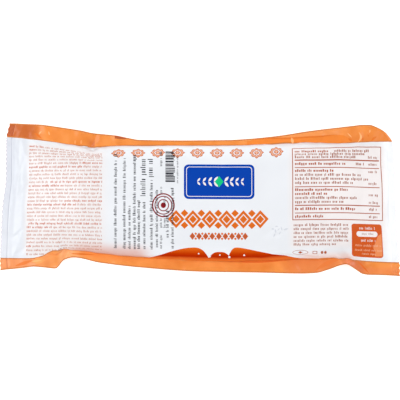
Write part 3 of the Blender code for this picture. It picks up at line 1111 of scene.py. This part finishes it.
def film_shader(tree, roughness, gloss=FILM_GLOSS, bump=0.25):
    """Printed plastic film: a soft shine that varies a little, over a faint crinkle."""
    shader = tree.nodes["Principled BSDF"]
    place = put(tree, "ShaderNodeTexCoord", {}).outputs["Object"]
    change, crinkle = noise(tree, place, SHINE_SCALE, 3.0), noise(tree, place, CRINKLE_SCALE, 4.0)
    shine = {"Value": change, "To Min": roughness - SHINE_CHANGE, "To Max": roughness + SHINE_CHANGE}
    relief = {"Height": crinkle, "Strength": bump, "Distance": CRINKLE_DEPTH * MM}
    feed(tree, shader, {
        "Specular IOR Level": gloss,
        "Roughness": put(tree, "ShaderNodeMapRange", shine).outputs["Result"],
        "Normal": put(tree, "ShaderNodeBump", relief).outputs["Normal"],
    })
    return shader, place


def film_place(tree):
    """The place on the film, (u, s) in mm, as two sockets."""
    film = put(tree, "ShaderNodeAttribute", {}, attribute_name="film")
    parts = put(tree, "ShaderNodeSeparateXYZ", {"Vector": film.outputs["Vector"]})
    return parts.outputs["X"], parts.outputs["Y"]


def share_between(tree, value, start, end, form="SMOOTHSTEP"):
    """0 at start and 1 at end of a value."""
    inputs = {"Value": value, "From Min": start, "From Max": end}
    return put(tree, "ShaderNodeMapRange", inputs, interpolation_type=form).outputs["Result"]


def toned_film(tree, roughness, bump, dark, light, scale, tones):
    """Film whose colour wanders between two near ones and goes towards each tone within its bounds."""
    shader, place = film_shader(tree, roughness, bump=bump)
    colour = ramp(tree, noise(tree, place, scale, 2.0), ((0.3, dark), (0.7, light)))
    at = film_place(tree)
    for tone, strength, *bounds in tones:
        for axis, start, end in bounds:
            factors = {0: share_between(tree, at[axis], start, end), 1: strength}
            strength = put(tree, "ShaderNodeMath", factors, operation="MULTIPLY").outputs["Value"]
        inputs = {"Factor": strength, "A": colour, "B": linear(*tone)}
        colour = put(tree, "ShaderNodeMix", inputs, data_type="RGBA").outputs["Result"]
    feed(tree, shader, {"Base Color": colour})


# A tone's bounds: along or across the film, where its share is 0 and where it is 1
U, S = 0, 1
# A bound that leaves out the back, whose places lie far beyond the front's
FRONT_ALONE = (S, 90, 80)
# Bounds at the borders of the sealed ends
SEAL_LEFT = CRIMP_WIDTH - HALF
LEFT_SEAL = (U, SEAL_LEFT + 0.5, SEAL_LEFT - 0.3)
RIGHT_SEAL = (U, -SEAL_LEFT - 0.5, -SEAL_LEFT + 0.3)
LEFT_LINE = ((U, SEAL_LEFT - 0.6, SEAL_LEFT), (U, SEAL_LEFT + 0.9, SEAL_LEFT + 0.3))
# Tones of the two films: colour, strength and bounds. Most of them are painted light: painted shade,
# highlights and reflections, as marked
WHITE_TONES = (
    # Painted shade: the left end, more above, its crimp, a line at the crimp's border, a bluish band
    # inside it, and the right crimp faintly
    ((176, 180, 198), 0.20, (U, -175, -181), (S, -50, 20)),
    ((176, 180, 198), 0.20, LEFT_SEAL),
    ((120, 126, 150), 0.32, *LEFT_LINE),
    ((196, 202, 214), 0.30, (U, -183, -181), (U, -162, -170)),
    ((190, 194, 206), 0.08, RIGHT_SEAL),
    # Painted light: the right end paler
    ((246, 247, 249), 0.60, (U, 172, 182)),
    # Warmer tints over the small print block and within the table
    ((227, 212, 205), 0.40, (U, -170, -162), (U, -84, -97), (S, 56, 50), (S, -58, -50)),
    ((239, 217, 207), 0.36, (U, 80, 91), (U, 182, 174), (S, 58, 50), (S, -50, -40)),
    # Painted shade and painted reflection of the orange: pinkish grey on the lower left flank
    ((204, 140, 120), 0.70, (U, -130, -108), (U, -40, -62), (S, -37, -52)),
    # Painted reflection of the orange band, pinkish and darker, above the lower right band
    ((232, 168, 140), 0.45, (U, 88, 104), (U, 156, 140), (S, -46, -58)),
)
ORANGE_TONES = (
    # Painted shade: the upper left end and its crimp, and the left facet of the fold at the upper left
    ((172, 78, 38), 0.84, LEFT_SEAL, (S, 30, 50), FRONT_ALONE),
    ((182, 86, 32), 0.80, (U, -148, -166), (S, 40, 60), FRONT_ALONE),
    ((190, 84, 34), 0.60, (U, -109, -101.5), (U, -99.8, -100.6), (S, 58, 62), (S, 76, 69)),
    # Painted light: paler, peach orange at the lower left end
    ((236, 154, 112), 0.50, (U, -142, -164), (S, -40, -55)),
    # Painted shade: a narrow dark wedge of a fold at the lower left
    ((216, 110, 50), 0.20, (U, -149, -146.5), (U, -141, -144), (S, -48, -54)),
    # Paler orange on the upper fin between u 64 and 132
    ((250, 172, 118), 0.20, (U, 40, 64), (U, 142, 132), (S, 60, 64), FRONT_ALONE),
    # Painted shade: deeper orange at the upper right next to the white field, and a dark line at the left
    # crimp's border
    ((214, 112, 42), 0.45, (U, 132, 146), (S, 72, 57), (S, 50, 54)),
    ((170, 84, 50), 0.50, *LEFT_LINE),
    # Painted light: the lower band paler at the left, and painted highlights on the folds there
    ((250, 160, 86), 0.50, (U, -136, -130), (U, -60, -80), (S, -40, -50)),
    ((252, 182, 128), 0.22, (U, -156, -150), (U, -133, -138), (S, -46, -52)),
    ((252, 190, 138), 0.42, (U, -137, -131), (U, -107, -124), (S, -44, -52)),
    # At the lower right fold: a painted highlight on its crest and painted shade on its right flank
    ((244, 150, 112), 0.50, (U, 130, 140), (U, 150, 144), (S, -50, -58)),
    ((194, 98, 64), 0.60, (U, 139, 146), (U, 159, 152), (S, -50, -56)),
    # Painted shade: darker towards the lower edge from u 76 rightwards
    ((218, 112, 80), 0.30, (U, 76, 92), (S, -60, -66)),
)
# The films: roughness, strength of the crinkle, two near colours, the scale of their change and tones
FILMS = {
    "white_film": (0.34, 0.25, (220, 222, 226), (224, 226, 230), 26.0, WHITE_TONES),
    "orange_film": (0.32, 0.40, (224, 126, 46), (238, 145, 68), 60.0, ORANGE_TONES),
}
# The deeper orange of the hills: print, darkest a little below their middle, where it is also painted
# shade of the loaf's steep lower flank. (share of the way up from the hills' foot, colour)
HILL_COLOURS = (
    (0.0, (232, 126, 48)), (0.24, (224, 106, 42)), (0.45, (170, 34, 0)), (0.62, (186, 54, 2)),
    (1.0, (226, 106, 26)),
)


def hill_ink(tree):
    shader, _ = film_shader(tree, 0.5, gloss=0.0)
    height = share_between(tree, film_place(tree)[1], HILL_FOOT, HILL_TOP, "LINEAR")
    feed(tree, shader, {"Base Color": ramp(tree, height, HILL_COLOURS)})


def plain_ink(tree, red, green, blue, roughness):
    shader, _ = film_shader(tree, roughness, INK_GLOSS)
    feed(tree, shader, {"Base Color": linear(red, green, blue)})


def make_material(name):
    material = bpy.data.materials.new(name)
    material.use_nodes = True
    if name in FILMS:
        toned_film(material.node_tree, *FILMS[name])
    elif name in INKS:
        plain_ink(material.node_tree, *INKS[name])
    else:
        hill_ink(material.node_tree)
    return material


def add_object(name, data):
    thing = bpy.data.objects.new(name, data)
    bpy.context.scene.collection.objects.link(thing)
    return thing


def make_wrap():
    points, faces, names, film = build_wrap()
    u, across = np.meshgrid(np.linspace(-HALF, HALF, 400), np.linspace(-1, 1, 81))
    smooth = film_form(u.ravel(), across.ravel(), True)
    middle = (smooth[:, :2].max(axis=0) + smooth[:, :2].min(axis=0)) / 2
    target = (np.array(cad_low) + np.array(cad_high))[:2] / 2 / MM
    points[:, :2] += target - middle
    mesh = bpy.data.meshes.new("printed_wrap")
    mesh.from_pydata((points * MM).tolist(), [], faces)
    slots = sorted(set(names))
    for name in slots:
        mesh.materials.append(make_material(name))
    mesh.polygons.foreach_set("material_index", [slots.index(n) for n in names])
    mesh.attributes.new("film", "FLOAT_VECTOR", "POINT").data.foreach_set("vector", film.ravel())
    mesh.shade_smooth()
    mesh.set_sharp_from_angle(angle=math.radians(60))
    mesh.update()
    wrap = add_object("printed_wrap", mesh)
    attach(wrap, "root")
    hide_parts("film_pack")


# ---- stage

# In metres: the camera's height, its view's width at the level of the print, that level, the view's
# middle, the floor's half width, and how far the floor lies under the pack
CAMERA_HEIGHT = 2.6
VIEW_WIDTH = 0.380
VIEW_LEVEL = 0.014
VIEW_MIDDLE = (0.00009, -0.0003)
FLOOR_REACH, FLOOR_DROP = 4.0, 0.0002


def make_camera():
    """Looks straight down, from far off, as the photograph does."""
    data = bpy.data.cameras.new("camera")
    data.sensor_width = 36.0
    data.lens = data.sensor_width * (CAMERA_HEIGHT - VIEW_LEVEL) / VIEW_WIDTH
    data.clip_start, data.clip_end = 0.1, 20.0
    camera = add_object("camera", data)
    camera.location = (*VIEW_MIDDLE, CAMERA_HEIGHT)
    bpy.context.scene.camera = camera


def make_light(name, place, size, power):
    data = bpy.data.lights.new(name, "AREA")
    data.shape = "DISK"
    data.size = size
    data.energy = power
    light = add_object(name, data)
    light.location = place
    light.rotation_euler = (-Vector(place)).to_track_quat("-Z", "Y").to_euler()


# Name, place, size in metres and power
LIGHTS = (
    ("left", (-0.85, 0.08, 0.85), 0.7, 6.7),
    ("right", (0.85, 0.08, 0.85), 0.7, 4.5),
    ("front", (-0.1, -2.1, 0.8), 1.4, 7.2),
    ("back", (0.1, 2.1, 0.8), 1.4, 7.4),
)


def make_floor():
    """A pale floor just under the pack."""
    mesh = bpy.data.meshes.new("floor")
    corners = [(a, b, 0) for a, b in rectangle(-FLOOR_REACH, -FLOOR_REACH, FLOOR_REACH, FLOOR_REACH)]
    mesh.from_pydata(corners, [], [(0, 1, 2, 3)])
    material = bpy.data.materials.new("floor_paint")
    material.use_nodes = True
    feed(material.node_tree, material.node_tree.nodes["Principled BSDF"], {
        "Base Color": (0.8, 0.8, 0.8, 1.0),
        "Roughness": 0.9,
        "Specular IOR Level": 0.0,
        "Emission Color": (1.0, 1.0, 1.0, 1.0),
        "Emission Strength": 0.62,
    })
    mesh.materials.append(material)
    floor = add_object("floor", mesh)
    floor.location.z = -FLOOR_DROP


def make_stage():
    """A pale floor, an even pale surround and large soft lights."""
    make_floor()
    world = bpy.data.worlds.new("surround")
    world.use_nodes = True
    feed(world.node_tree, world.node_tree.nodes["Background"], {
        "Color": (0.98, 0.99, 1.0, 1.0), "Strength": 0.60,
    })
    scene = bpy.context.scene
    scene.world = world
    scene.view_settings.view_transform = "Standard"
    scene.view_settings.look = "None"
    for light in LIGHTS:
        make_light(*light)


make_camera()
make_stage()
make_wrap()
